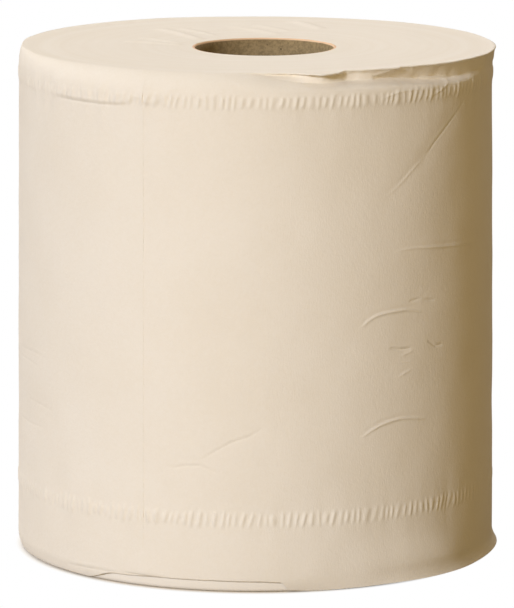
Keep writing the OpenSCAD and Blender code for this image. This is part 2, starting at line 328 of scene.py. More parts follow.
def past_by(a, b):
    """How far direction a lies past direction b in degrees, from -180 to 180."""
    return (a - b + 180.0) % 360.0 - 180.0


def between(a, b):
    """Angle between two directions in degrees, from 0 to 180."""
    return np.abs(past_by(a, b))


def sector(a, first, last, fade):
    """1 between two directions, dying away to 0 past them."""
    middle, span = (first + last) / 2, (last - first) / 2
    return 1.0 - ease((between(a, middle) - span) / fade)


def around(a, stations, column=1):
    """Smooth value at direction a from stations that run once round the roll."""
    closed = (*stations, stations[0])
    angles, values = (np.array([s[i] for s in closed], float) for i in (0, column))
    angles[-1] += 360.0
    turned = (np.asarray(a) - angles[0]) % 360.0 + angles[0]
    i = np.clip(np.searchsorted(angles, turned, side="right") - 1, 0, len(angles) - 2)
    t = (turned - angles[i]) / (angles[i + 1] - angles[i])
    return values[i] + (values[i + 1] - values[i]) * ease(t)


def soft_noise(seed, turn, height, cells_round, cell_height):
    """Smooth noise from -1 to 1 over a turn of the roll, the same at both ends of the turn."""
    rng = np.random.default_rng(seed)
    rows = int(math.ceil(0.3 / cell_height)) + 2
    lattice = rng.uniform(-1.0, 1.0, (cells_round, rows))
    x = (turn % 1.0) * cells_round
    y = np.maximum(height, 0.0) / cell_height
    x, y = np.broadcast_arrays(x, y)
    i, j = np.floor(x).astype(int) % cells_round, np.floor(y).astype(int)
    s, t = ease(x - np.floor(x)), ease(y - np.floor(y))
    k = (i + 1) % cells_round
    low, high = (lattice[i, row] * (1 - s) + lattice[k, row] * s for row in (j, j + 1))
    return low * (1 - t) + high * t


def to_route(x, y, route):
    """Signed distance of points from a route of straight runs, positive on its left, and a strength
    that is 0 at the route's ends and 1 in its middle."""
    route = np.array(route, float)
    runs = np.hypot(*(route[1:] - route[:-1]).T)
    best = np.full(x.shape, 1e9)
    share = np.zeros(x.shape)
    for i, run in enumerate(runs):
        ux, uy = (route[i + 1] - route[i]) / run
        dx, dy = x - route[i][0], y - route[i][1]
        t = np.clip(dx * ux + dy * uy, 0.0, run)
        away = np.hypot(dx - t * ux, dy - t * uy)
        closer = away < np.abs(best)
        best = np.where(closer, np.copysign(away, dy * ux - dx * uy), best)
        share = np.where(closer, (runs[:i].sum() + t) / runs.sum(), share)
    return best, clamp(4.0 * share * (1.0 - share)) ** 0.5


def to_crease(a, height, radius, route):
    """Signed distance in millimetres of points on the outer turn from a crease, and strength."""
    arc = math.radians(1.0) * radius / MM
    middle = route[len(route) // 2][0]
    x, y = np.broadcast_arrays(past_by(a, middle) * arc, height / MM)
    return to_route(x, y, [((direction - middle) * arc, up) for direction, up in route])


def creases_at(a, height, radius):
    """How far the creases draw the outer turn in, and for each set the distance in millimetres of
    the nearest crease and how strongly it shows."""
    depth, marks = 0.0, {}
    for key, creases in CREASES.items():
        nearest, shown = np.full(a.shape, 99.0), np.zeros(a.shape)
        for deep, wide, line, route in creases:
            away, strength = to_crease(a, height, radius, route)
            depth = depth + deep * MM * strength * hump(away, wide)
            past = (np.abs(away) - LINE_FADE_FROM) / (LINE_FADE_TO - LINE_FADE_FROM)
            closer = np.abs(away) < np.abs(nearest)
            nearest = np.where(closer, away, nearest)
            shown = np.where(closer, line * strength * (1.0 - ease(past)), shown)
        marks["away_" + key], marks["mark_" + key] = nearest, shown
    return depth, marks


class Skin:
    """Rows of points joined into a closed mesh, with named numbers kept on the points."""

    def __init__(self):
        self.points, self.faces = [], []
        self.marks = {}
        self.count = 0

    def row(self, points, turn, closed=False, **marks):
        """Add a row and return its numbers and its points' places along the web. A closed row comes
        back to its first point."""
        n = len(points)
        self.points.append(points)
        for key, values in {"turn": turn, **marks}.items():
            self.marks.setdefault(key, []).append(np.broadcast_to(values, (n,)))
        numbers = np.arange(self.count, self.count + n)
        self.count += n
        if closed:
            return np.append(numbers, numbers[0]), np.append(turn, 1.0)
        return numbers, turn

    def join(self, low, high):
        """Faces between two rows, by quads where they match and triangles where they don't."""
        (a, a_places), (b, b_places) = low, high
        if len(a) == len(b):
            self.faces += np.stack([a[:-1], a[1:], b[1:], b[:-1]], 1).tolist()
            return
        i = j = 0
        while i < len(a) - 1 or j < len(b) - 1:
            if i < len(a) - 1 and (j == len(b) - 1 or a_places[i + 1] <= b_places[j + 1]):
                self.faces.append([a[i], a[i + 1], b[j]])
                i += 1
            else:
                self.faces.append([a[i], b[j + 1], b[j]])
                j += 1

    def join_round(self, rows):
        """Join each row to the next, and the last one to the first."""
        for low, high in zip(rows, rows[1:] + rows[:1]):
            self.join(low, high)

    def mesh(self, name):
        """The joined rows as a smooth mesh with its sharp edges kept."""
        mesh = bpy.data.meshes.new(name)
        mesh.from_pydata(np.concatenate(self.points).tolist(), [], self.faces)
        for key, rows in self.marks.items():
            values = mesh.attributes.new(key, "FLOAT", "POINT").data
            values.foreach_set("value", np.concatenate(rows))
        mesh.shade_smooth()
        mesh.set_sharp_from_angle(angle=math.radians(50.0))
        mesh.validate()
        return mesh


class Field:
    """A node's socket that takes part in sums: each sum adds a Math node to the tree."""

    def __init__(self, board, socket):
        self.board, self.socket = board, socket

    def math(self, operation, *others):
        return self.board.add("ShaderNodeMath", {"operation": operation}, [self, *others])

    def __add__(self, other):
        return self.math("ADD", other)

    def __sub__(self, other):
        return self.math("SUBTRACT", other)

    def __rsub__(self, other):
        return self.board.add("ShaderNodeMath", {"operation": "SUBTRACT"}, [other, self])

    def __mul__(self, other):
        return self.math("MULTIPLY", other)

    def __truediv__(self, other):
        return self.math("DIVIDE", other)

    def __abs__(self):
        return self.math("ABSOLUTE")

    __radd__, __rmul__ = __add__, __mul__

    def rise(self, low, high):
        """Smooth step from 0 at low to 1 at high."""
        settings = {"interpolation_type": "SMOOTHSTEP"}
        return self.board.add("ShaderNodeMapRange", settings, {0: self, 1: low, 2: high})


class Board:
    """A node tree that is being wired: one method adds any node and fills its sockets."""

    def __init__(self, tree):
        self.tree = tree

    def add(self, kind, settings=None, inputs=None, output=0):
        """Add a node, set its settings first, then its sockets, and return one of its outputs."""
        node = self.tree.nodes.new(kind)
        for key, value in (settings or {}).items():
            setattr(node, key, value)
        pairs = enumerate(inputs) if isinstance(inputs, (list, tuple)) else (inputs or {}).items()
        for key, value in pairs:
            if isinstance(value, Field):
                self.tree.links.new(value.socket, node.inputs[key])
            else:
                node.inputs[key].default_value = value
        return Field(self, node.outputs[output]) if node.outputs else node

    def parts(self, vector):
        """A vector's x, y and z."""
        node = self.add("ShaderNodeSeparateXYZ", None, [vector]).socket.node
        return [Field(self, output) for output in node.outputs]

    def noise(self, vector, scale, detail, rough=0.5, dimensions="3D"):
        key = "W" if dimensions == "1D" else "Vector"
        sockets = {key: vector, "Scale": scale, "Detail": detail, "Roughness": rough}
        return self.add("ShaderNodeTexNoise", {"noise_dimensions": dimensions}, sockets)

    def vector_math(self, operation, inputs, output=0):
        return self.add("ShaderNodeVectorMath", {"operation": operation}, inputs, output)

    def mix(self, share, first, second):
        """Mix two colours."""
        settings = {"data_type": "RGBA"}
        return self.add("ShaderNodeMix", settings, {0: share, 6: first, 7: second}, 2)

    def for_camera(self, others, camera):
        """One shader for the camera, and another for the rest of the scene."""
        ray = self.add("ShaderNodeLightPath", output="Is Camera Ray")
        return self.add("ShaderNodeMixShader", None, {0: ray, 1: others, 2: camera})


def rgba(colour):
    return (*colour[:3], 1.0)


def new_geometry_tree(name, inputs):
    """A Geometry Nodes tree with named number inputs. Returns its board and those inputs."""
    tree = bpy.data.node_groups.new(name, "GeometryNodeTree")
    face = tree.interface
    face.new_socket("Geometry", in_out="INPUT", socket_type="NodeSocketGeometry")
    face.new_socket("Geometry", in_out="OUTPUT", socket_type="NodeSocketGeometry")
    for key, value in inputs.items():
        kind = "NodeSocketInt" if isinstance(value, int) else "NodeSocketFloat"
        face.new_socket(key, in_out="INPUT", socket_type=kind).default_value = value
    board = Board(tree)
    start = tree.nodes.new("NodeGroupInput")
    return board, {s.name: Field(board, s) for s in start.outputs if s.name}


def end_tree(board, moves, material, close=False):
    """Close a tree: Set Position, a merge where asked for, Realize Instances and Set Material."""
    moved = board.add("GeometryNodeSetPosition", None, moves)
    if close:
        merge = {"Geometry": moved, "Distance": 0.02 * MM}
        moved = board.add("GeometryNodeMergeByDistance", None, merge)
        moved = board.add("GeometryNodeSetShadeSmooth", None, {"Geometry": moved})
    real = board.add("GeometryNodeRealizeInstances", None, [moved])
    done = board.add("GeometryNodeSetMaterial", None, {"Geometry": real, "Material": material})
    board.add("NodeGroupOutput", None, [done])
    return board.tree


def run_tree(obj, tree, values):
    """Run a tree on an object, its inputs set by identifier, and keep the result as its mesh."""
    modifier = obj.modifiers.new(tree.name, "NODES")
    modifier.node_group = tree
    for item in tree.interface.items_tree:
        if item.in_out == "INPUT" and item.name in values:
            modifier[item.identifier] = values[item.name]
    bpy.context.view_layer.update()
    graph = bpy.context.evaluated_depsgraph_get()
    evaluated = obj.evaluated_get(graph)
    made = bpy.data.meshes.new_from_object(evaluated, depsgraph=graph)
    obj.modifiers.remove(modifier)
    old, obj.data = obj.data, made
    made.name = obj.name
    bpy.data.meshes.remove(old)


def add_object(name, data):
    obj = bpy.data.objects.new(name, data)
    bpy.context.scene.collection.objects.link(obj)
    return obj


def side_radius(sizes, turn, height):
    """Radius of the outer turn, which grows by one step along the web."""
    taper = sizes.spread * (1.0 - 2.0 * height / sizes.height)
    return sizes.outer_radius + taper + sizes.tail_step * (turn - 0.5)


def foot_shift(sizes, a, height):
    """How far the foot stands out, negative where it draws in."""
    loose = sector(a, *LOOSE_FOOT)
    edge = loose * (sizes.flare + sizes.foot_in) - sizes.foot_in
    return edge * clamp(1.0 - height / sizes.foot_height) ** 2


def billow(a, height):
    """How far the loose foot billows out along a slanted ridge on the right."""
    tall = height / MM
    ridge = BILLOW_AT_BASE - BILLOW_SLANT * tall
    rise = hump(tall - BILLOW_TALL, BILLOW_TALL)
    past = past_by(a, ridge)
    span = np.where(past < 0.0, *BILLOW_SPAN)
    return BILLOW_RISE * rise * hump(past, span)


def pleat_shift(a, height):
    """How far the pleat beside the lifted stretch stands out above its edge."""
    share = clamp((a - PLEAT_FROM) / (PLEAT_TO - PLEAT_FROM))
    line = (PLEAT_LOW + (PLEAT_HIGH - PLEAT_LOW) * share) * MM
    above = ease((height - line) / PLEAT_SHARP) * ease((line + PLEAT_TALL - height) / PLEAT_FADE)
    return PLEAT_STEP * above * ease(share * 2.2) * ease((252.0 - a) / 12.0)


def rim_at(sizes, a):
    """Radius and height of the rim and of the neck below it."""
    radius, rise, over, deep = (around(a, RIM_EDGE, i) * MM for i in (1, 2, 3, 4))
    return radius, sizes.height + rise, radius - over, sizes.height - NECK_SHARE * deep


def hollow_at(a):
    """1 where the rim stands out over a neck, 0 where the shoulder is soft."""
    return sector(a, *HOLLOW)


def outer_turn_point(sizes, a, turn, tall):
    """Radius, height and crease marks of the outer turn at a direction and a place up the web."""
    top = sizes.height
    hollow = hollow_at(a)
    hem = around(a, HEM_EDGE) * MM
    height = np.where(tall < HEM_TALL, hem + tall * (HEM_TALL - hem) / HEM_TALL, tall)
    radius = side_radius(sizes, turn, height) + foot_shift(sizes, a, height)
    radius = radius + pleat_shift(a, height) + billow(a, height)

    # the puffed fold and the swelling below the neck
    fold_edge = np.interp(a % 360.0, *zip(*PUFF_EDGE)) * MM
    puffed = ease((tall - fold_edge) / PUFF_SHARP) * ease((top - tall) / PUFF_FADE)
    radius = radius + PUFF_STEP * sector(a, *PUFFED) * puffed
    swell = hump(tall - (top - SWELL_DOWN), SWELL_SPAN)
    radius = radius + SWELL_RISE * hollow * swell

    # over the shoulder on to the end, or round into the neck under the rim
    start = top - sizes.shoulder_down - HOLLOW_SAG * hollow
    q = clamp((tall - start) / (top - start))
    rim, rim_z, neck, neck_z = rim_at(sizes, a)
    bend = q * math.pi / 2
    soft_r = radius - (radius - rim) * (1.0 - np.cos(bend))
    soft_z = start + (top + LAP_PROUD - start) * np.sin(bend)
    deep_z = start + (rim_z - END_DOWN - start) * q
    below = clamp((deep_z - start) / (neck_z - start))
    above = clamp((deep_z - neck_z) / (rim_z - END_DOWN - neck_z))
    deep_r = neck + (radius - neck) * (0.5 + 0.5 * np.cos(math.pi * below ** NECK_TURN))
    deep_r = deep_r + (rim - END_IN - neck) * above ** WALL_LEAN
    deep_r = deep_r + wall_folds(a, above) * ease((below - 0.7) / 0.3)
    over = tall > start
    radius = np.where(over, soft_r * (1 - hollow) + deep_r * hollow, radius)
    height = np.where(over, soft_z * (1 - hollow) + deep_z * hollow, height)

    # creases, slack and the pull of the crimped bands
    off_foot = ease(tall / (3.0 * MM))
    on_side = off_foot * ease((start - tall) / (4.0 * MM))
    depth, marks = creases_at(a, height, sizes.outer_radius)
    radius = radius - depth * on_side
    slack = sum(rise * soft_noise(seed, turn, tall, *cells) for rise, seed, *cells in SLACK)
    radius = radius + slack * MM * on_side
    pull = GATHER_RISE + GATHER_MORE * sector(a, *GATHERED)
    room = off_foot * ease((top - 4.0 * MM - tall) / (4.0 * MM))
    for band, seed in ((LOW_BAND, 51), (top - HIGH_BAND, 52)):
        gathers = soft_noise(seed, turn, tall, GATHER_COUNT, GATHER_CELL)
        near = hump(tall - band, GATHER_SPAN)
        radius = radius + pull * MM * gathers * near * room
    return radius, height, marks


def place(a, radius, height, offset):
    """Points in the frame from direction, radius and height about the outer turns' middle."""
    a = np.radians(a)
    x, y = radius * np.cos(a) - offset, radius * np.sin(a)
    return np.stack(np.broadcast_arrays(x, y, height), -1)


def outer_turn_rows(sizes):
    """Heights up the web for the rows of the outer turn, with the points along each."""
    top = sizes.height
    start = top - sizes.shoulder_down
    # from which height to which, how many rows and how many columns
    blocks = [
        (0.0, 8.0 * MM, 14, PLAIN), (8.0 * MM, 23.0 * MM, 5, COARSE),
        (23.0 * MM, 35.5 * MM, 13, FINE), (36.0 * MM, 186.0 * MM, 58, COARSE),
        (189.0 * MM, start, 10, FINE), (start, top, 20, PLAIN),
    ]
    rows = []
    for low, high, count, columns in blocks:
        rows += [(tall, columns) for tall in np.linspace(low, high, count, endpoint=False)]
    return rows + [(top, PLAIN)]


def build_outer_turn(sizes):
    """The loose outer turn as a closed sheet that ends in its tail and laps over itself."""
    skin = Skin()
    top = sizes.height

    def outside_at(tall, columns):
        """Places along the web, directions, radii, heights, crease marks and tuck of a row."""
        turn = np.linspace(-LAP / 360.0, 1.0, columns + 1)
        a = sizes.tail_angle + 360.0 * turn
        point = outer_turn_point(sizes, a, turn, np.full(turn.shape, tall))
        return turn, a, *point, ease(-turn * 360.0 / LAP * 1.5) * TUCK

    outside = []
    for tall, columns in outer_turn_rows(sizes):
        turn, a, radius, height, marks, tucked = outside_at(tall, columns)
        points = place(a, radius - tucked, height, sizes.offset)
        press = np.interp(a % 360.0, *zip(*CRIMP_PRESS))
        outside.append(skin.row(points, turn, tall=tall, press=press, **marks))

    inside = []
    downs, ups = (0.0, 0.5, 4.0, 14.0), (100.0, 14.0, 4.0, 0.0)
    for tall in [top - down * MM for down in downs] + [up * MM for up in ups]:
        turn, a, radius, height, marks, tucked = outside_at(tall, COARSE)
        deep = UNDER_SHEET * ease((tall - 2.0 * MM) / (8.0 * MM)) * ease((top - tall) / (6.0 * MM))
        deep = sizes.paper + deep
        over = tall > top - 0.5 * sizes.shoulder_down
        down = np.where(over, deep * (1 - hollow_at(a)), 0.0)
        points = place(a, radius - deep - tucked, height - down, sizes.offset)
        inside.append(skin.row(points, turn, **dict.fromkeys(("tall", "press", *marks), 0.0)))
    skin.join_round(outside + inside)

    def cut_edge(rows, end):
        """The first or last points of rows, as a row of their own."""
        return np.array([row[0][end] for row in rows]), np.arange(len(rows)) / (len(rows) - 1)

    back = inside[::-1]
    skin.join(cut_edge(outside, 0), cut_edge(back, 0))
    skin.join(cut_edge(back, -1), cut_edge(outside, -1))
    return skin.mesh("outer_turn")


def crimp_tree(material, values):
    """Geometry Nodes that raise two bands of irregular crimps on the outer turn."""
    # how fast and how far the crimps wander along the web and change their lean, then the mean lean
    # and how fast a crimp runs along as it goes up
    wander_step, wander_by, lean_step, lean_by = 0.31, 1.1, 0.23, 1.8
    lean_mean, lean_rate = 0.25, 190.0
    board, given = new_geometry_tree("Crimped bands", values)
    turn, tall, press = (
        board.add("GeometryNodeInputNamedAttribute", {"data_type": "FLOAT"}, {"Name": key})
        for key in ("turn", "tall", "press"))
    position = board.add("GeometryNodeInputPosition")
    x, y, _ = board.parts(position)
    outward = board.add("ShaderNodeCombineXYZ", None, [x - given["Middle X"], y, 0.0])
    outward = board.vector_math("NORMALIZE", [outward])
    lean_from = given["Seed"] * 7.3
    along = turn * given["Crimps"]
    wander = board.noise(along * wander_step + lean_from, 1.0, 1.0, dimensions="1D") * wander_by

    height = None
    for name, number in (("Lower band", 0.0), ("Upper band", 57.0)):
        up = tall - given[name]
        lean_at = along * lean_step + (lean_from + number)
        lean = board.noise(lean_at, 1.0, 2.0, dimensions="1D") - 0.5
        lean = (lean * lean_by - lean_mean) * up * lean_rate
        phase = along + wander + lean + number * 0.37
        cell = phase.math("FLOOR") * 3.1 + given["Seed"] + number
        tallness, shift, width = (
            board.add("ShaderNodeTexWhiteNoise", {"noise_dimensions": "1D"}, {"W": cell + more})
            for more in (0.0, 0.5, 0.8))
        ridge = 1.0 - abs(phase.math("FRACT") * 2.0 - 1.0)
        ridge = ridge.rise(0.05 + 0.4 * width, 0.95)
        reach = given["Length"] * (0.5 + 0.4 * (shift - 0.5))
        inside = (reach + given["Fade"] - abs(up)) / given["Fade"]
        band = ridge * inside.rise(0.0, 1.0) * (0.5 + 0.5 * tallness)
        height = band if height is None else height.math("MAXIMUM", band)
    height = height * press * given["Rise"]
    offset = board.vector_math("SCALE", {0: outward, "Scale": height})
    return end_tree(board, {"Geometry": given["Geometry"], "Offset": offset}, material)


def wall_folds(a, share):
    """Ruffles of the wall under the rim, with one flap whose edge runs up to the right."""
    turn, up = (a % 360.0) / 360.0, 0.02 * share + 0.05
    waves = sum(part * soft_noise(seed, turn, up, count, 0.02) for seed, count, part in RUFFLES)
    edge = FLAP_AT_NECK + (FLAP_AT_RIM - FLAP_AT_NECK) * share
    past = past_by(a, edge)
    over_edge = ease((past + FLAP_EDGE / 2) / FLAP_EDGE)
    flap = FLAP_OUT * ease((past + FLAP_WIDE) / FLAP_SLOPE) * (1.0 - over_edge)
    flap = flap - FLAP_IN * over_edge * hump(np.maximum(past, 0.0), FLAP_RETURN)
    return MM * (RUFFLE_RISE * sector(a, *RUFFLED) * waves + flap)


def build_wound_turns(sizes):
    """The wound turns as one closed ring: from the bore's foot out, up the side, round the rim and
    in over the upper end to the bore again."""
    skin, rows = Skin(), []
    top = sizes.height
    bore = CORE_HIGH[0] + 0.05 * MM
    inner = sizes.outer_radius - INSIDE_BY

    def ring(columns, shift, shape, *numbers):
        """Add a ring: shape gives its radius and height, shift is its share of the offset."""
        turn = np.linspace(0.0, 1.0, columns, endpoint=False)
        a = 360.0 * turn
        radius, height = shape(a, *numbers)
        points = place(a, radius, height, sizes.offset * shift)
        on_top = (height > top - 1.0 * MM) & (radius < END_OUTER) & (radius > END_INNER)
        x, y = (points[:, 0] + sizes.offset) / MM, points[:, 1] / MM
        for rise, wide, start, end in PULLED_PLIES:
            away, strength = to_route(x, y, [start, end])
            points[:, 2] += on_top * rise * MM * strength * hump(away, wide)
        rows.append(skin.row(points, turn, closed=True))

    def even(a, radius, height):
        """The same all round."""
        return radius, height

    def blend(a, deep, soft):
        """What holds over the neck and what holds on the soft shoulder, each in its directions."""
        return deep * hollow_at(a) + soft * (1 - hollow_at(a))

    def wall(a, share):
        """The wall between the neck, where share is 0, and the rim, where it is 1."""
        rim, rim_z, neck, neck_z = rim_at(sizes, a)
        lean = clamp(share) ** WALL_LEAN
        folds = wall_folds(a, share) * clamp(share * 3.0 + 0.4)
        behind = (WALL_BEHIND + clamp(-share) * WALL_FOOT_BEHIND) * MM
        behind = behind * (1.0 - ease((share - 0.8) / 0.15))
        deep = neck_z + (rim_z - 0.45 * MM - neck_z) * share
        return (
            blend(a, neck + (rim - neck) * lean + folds - behind, rim - 1.0 * MM),
            blend(a, deep, top - (2.0 - share) * 0.6 * MM))

    def lip(a, inward, down):
        """The rim, or what lies under the outer turn's edge where that laps over the end."""
        rim, rim_z, _, _ = rim_at(sizes, a)
        under = 0.6 * ease((sizes.outer_radius - rim) / (5.0 * MM)) + 0.1
        out = (under * (1 - hollow_at(a)) - inward) * MM
        radius = rim + wall_folds(a, 1.0) * hollow_at(a) + out
        return radius, blend(a, rim_z - down * MM, top + (0.1 - 0.6 * down) * MM)

    def over(a, share):
        """The upper end between the bore, where share is 0, and the rim."""
        rim, rim_z = lip(a, 0.8, 0.0)
        radius = bore + (rim - bore) * share
        dish = DISH_DEPTH * (1.0 - ease((radius - bore) / DISH_REACH))
        bent = clamp((share - 0.90) / 0.10) ** 1.5
        return radius, top + (rim_z - top) * bent - dish

    # the lower end, its round edge and the side, whose foot shows under the lifted edge
    reach = inner + 0.6 * MM - FOOT_ROUND
    for share in np.linspace(0.0, 1.0, 26):
        ring(WOUND_PLAIN, share, even, bore + (reach - bore) * share, 0.0)
    for angle in (20, 45, 70, 90):
        t = math.radians(angle)
        out, up = FOOT_ROUND * math.sin(t), FOOT_ROUND * (1 - math.cos(t))
        ring(WOUND_END, 1.0, even, reach + out, up)
    for columns, out, height in WOUND_SIDE:
        ring(columns, 1.0, even, inner + out * MM, height * MM)
    ring(WOUND_PLAIN, 1.0, even, inner - 1.6 * MM, top - 14.0 * MM)

    # up the wall under the rim, round the rim and in over the upper end, then down the bore
    for share in (-0.8, 0.1, 0.5, 0.8, 0.9, 0.97):
        ring(WOUND_RIM, 1.0, wall, share)
    for inward, down in ((0.0, 0.45), (0.0, 0.3), (0.12, 0.12), (0.35, 0.02), (0.8, 0.0)):
        ring(WOUND_RIM, 1.0, lip, inward, down)
    for share in np.linspace(0.99, 0.0, 84):
        ring(WOUND_END, share, over, share)
    for height in (top - DISH_DEPTH - 0.4 * MM, 100.0 * MM, 0.5 * MM):
        ring(WOUND_PLAIN, 0.0, even, bore, height)
    skin.join_round(rows)
    return skin.mesh("wound_turns")


def about_middle(x, y, inner, outer, middle):
    """The place along x and the distance from the turns' middle, which slides off the core's axis
    between an inner and an outer radius."""
    far = (x * x + y * y).math("SQRT")
    near_x = x - far.rise(inner, outer) * middle
    return near_x, (near_x * near_x + y * y).math("SQRT")


def turn_edge_tree(material, values):
    """Geometry Nodes that give both ends the slight spiral relief of the turns' edges."""
    board, given = new_geometry_tree("Turn edges", values)
    x, y, z = board.parts(board.add("GeometryNodeInputPosition"))
    near_x, radius = about_middle(x, y, given["Bore"], given["Rim"], given["Middle X"])
    angle = board.add("ShaderNodeMath", {"operation": "ARCTAN2"}, [y, near_x])
    phase = radius / given["Pitch"] - angle / (2.0 * math.pi)
    wave = board.noise(phase + given["Seed"] * 9.1, 1.0, 2.0, 0.6, dimensions="1D") - 0.5
    on_face = radius.rise(given["Bore"], given["Bore"] + 0.004) * (
        1.0 - radius.rise(given["Rim"] - 0.006, given["Rim"]))
    upper = z.rise(given["Top"] - 0.002, given["Top"] - 0.0015)
    lower = 1.0 - z.rise(0.0, 0.0005)
    lift = wave * on_face * given["Relief"] * (upper - lower * 0.5)
    lift = lift + lower * on_face * given["Relief"]
    offset = board.add("ShaderNodeCombineXYZ", None, [0.0, 0.0, lift])
    return end_tree(board, {"Geometry": given["Geometry"], "Offset": offset}, material)


def core_tree(material, values):
    """Geometry Nodes that wind the cardboard tube: a grid twisted along its ply seam."""
    seam_half, scuff_by = 1.5 / 180.0, 0.6 * MM
    board, given = new_geometry_tree("Core tube", values)
    counts = {"Vertices X": given["Columns"], "Vertices Y": given["Rows"]}
    grid = board.add("GeometryNodeMeshGrid", None, {"Size X": 1.0, "Size Y": 1.0, **counts})
    x, y, _ = board.parts(board.add("GeometryNodeInputPosition"))
    column = x + 0.5
    section = (y + 0.5) * 4.0

    # the section goes up the inside, across the top edge, down the outside and back
    up = section.math("MINIMUM", 1.0)
    out, down, back = (
        (section - passed).math("MAXIMUM", 0.0).math("MINIMUM", 1.0) for passed in (1.0, 2.0, 3.0))
    height = given["Bottom"] + (given["Top"] - given["Bottom"]) * (up - down)
    wall = given["Wall"] * (out - back)
    angle = (column - height / given["Ply"]) * (2.0 * math.pi)
    seam = 1.0 - abs(column - 0.5).rise(0.0, seam_half)
    scuff = board.noise(angle * 1.9 + given["Seed"] * 3.7, 1.0, 3.0, 0.6, dimensions="1D") - 0.5
    radius = given["Inside"] + wall + seam * given["Seam"] * (1.0 - out)
    height = height + scuff * scuff_by * out * (1.0 - down)
    place_x, place_y = radius * angle.math("COSINE"), radius * angle.math("SINE")
    where = board.add("ShaderNodeCombineXYZ", None, [place_x, place_y, height])
    return end_tree(board, {"Geometry": grid, "Position": where}, material, close=True)


def new_material(name):
    """An empty material, the board of its tree and the object's own coordinates."""
    material = bpy.data.materials.new(name)
    material.use_nodes = True
    material.node_tree.nodes.clear()
    board = Board(material.node_tree)
    return material, board, board.add("ShaderNodeTexCoord", output="Object")


def finish_material(board, colour, bump, roughness, constants):
    """Close a material with a bump, of a strength, a distance and a height, and one shader."""
    normal = board.add("ShaderNodeBump", None, dict(zip(("Strength", "Distance", "Height"), bump)))
    sockets = {"Base Color": colour, "Normal": normal, "Roughness": roughness, **constants}
    shader = board.add("ShaderNodeBsdfPrincipled", None, sockets)
    board.add("ShaderNodeOutputMaterial", None, {"Surface": shader})


def crease_lines(board):
    """Height of the creases' crisp lines: a narrow groove with a softer ridge beside it."""
    def bell(away, half_width):
        share = away / half_width
        return (share * share * -1.0).math("EXPONENT")

    height = 0.0
    for key in CREASES:
        away, mark = (
            board.add("ShaderNodeAttribute", {"attribute_name": name + key}, output="Fac")
            for name in ("away_", "mark_"))
        ridge = bell(away - RIDGE_AWAY, RIDGE_HALF) * RIDGE_SHARE
        height = mark * (ridge - bell(away, GROOVE_HALF)) * CREASE_LINE + height
    return height


def paper_material(finish):
    """Crepe paper: soft fibres, fine crepe lines along the core and slight changes of tone."""
    material, board, at = new_material("Crepe paper")
    cloud = board.noise(at, 28.0, 4.0, 0.6)
    fibre = board.noise(at, 1300.0, 3.0, 0.65)
    flat = board.add("ShaderNodeMapping", None, {"Vector": at, "Scale": (1.0, 1.0, 0.22)})
    crepe = board.noise(flat, 2100.0, 2.0, 0.55)
    fleck = board.noise(at, 520.0, 2.0, 0.5)
    tone = cloud * 0.45 + fibre * 0.35 + fleck * 0.2
    colour = board.mix(tone.rise(0.3, 0.7), rgba(finish.paper_deep), rgba(finish.paper))
    height = (fibre * 0.5 + crepe * 0.5 + fleck * 0.6) * PAPER_GRAIN + crease_lines(board)
    finish_material(board, colour, (1.0, 1.0, height), 0.92, PAPER_CONSTANTS)
    return material


def end_material(finish):
    """The ends: the cut edges of hundreds of turns, as fine rings with a soft nap."""
    material, board, at = new_material("Turn edges")
    x, y, _ = board.parts(at)
    _, radius = about_middle(x, y, 30.0 * MM, 90.0 * MM, -OFFSET)
    rings = board.noise(radius, 2600.0, 2.0, 0.7, dimensions="1D")
    bands = board.noise(radius, 160.0, 2.0, 0.6, dimensions="1D")
    fibre = board.noise(at, 1300.0, 3.0, 0.65)
    cloud = board.noise(at, 22.0, 4.0, 0.6)
    tone = cloud * 0.35 + fibre * 0.25 + bands * 0.4
    colour = board.mix(tone.rise(0.3, 0.7), rgba(finish.paper_deep), rgba(finish.paper))
    height = rings * 0.8 + fibre * 0.6
    finish_material(board, colour, (0.3, 0.12 * MM, height), 0.94, PAPER_CONSTANTS)
    return material


def board_material(finish):
    """Recycled board: grey brown fibres, dark specks and a lighter cut edge."""
    material, board, at = new_material("Recycled board")
    z = board.parts(at)[2]
    fibre = board.noise(at, 700.0, 4.0, 0.7)
    blotch = board.noise(at, 160.0, 3.0, 0.6)
    speck = board.noise(at, 420.0, 1.0, 0.4)
    dark, light, spot = (
        rgba([min(c * share, 1.0) for c in finish.board]) for share in (0.8, 1.25, 0.2))
    colour = board.mix((fibre * 0.8 + blotch * 0.2).rise(0.35, 0.65), dark, light)
    colour = board.mix(speck.rise(0.76, 0.79), colour, spot)
    upper = z.rise(CORE_HIGH[2] - 0.7 * MM, CORE_HIGH[2] - 0.3 * MM)
    lower = 1.0 - z.rise(CORE_LOW[2] + 0.3 * MM, CORE_LOW[2] + 0.7 * MM)
    colour = board.mix(upper + lower, colour, rgba(finish.board_edge))
    bump = 0.5, 0.2 * MM, fibre + speck * 0.5
    finish_material(board, colour, bump, 0.88, {"Specular IOR Level": 0.2})
    return material


def floor_material():
    """A floor that is white to the camera but for the contact shadow, and dull to the roll."""
    material, board, at = new_material("Floor")
    at = board.vector_math("ADD", [at, (OFFSET, 0.0, 0.0)])
    white = board.vector_math("LENGTH", [at], 1).rise(SHADOW_FROM, SHADOW_TO)
    pale = board.add("ShaderNodeBsdfDiffuse", None, {"Color": (0.95, 0.86, 0.72, 1.0)})
    dull = board.add("ShaderNodeBsdfDiffuse", None, {"Color": (0.33, 0.27, 0.18, 1.0)})
    glow = board.add("ShaderNodeEmission", None, {"Color": WHITE, "Strength": 1.0})
    seen = board.add("ShaderNodeMixShader", None, {0: white, 1: pale, 2: glow})
    both = board.for_camera(dull, seen)
    board.add("ShaderNodeOutputMaterial", None, {"Surface": both})
    return material


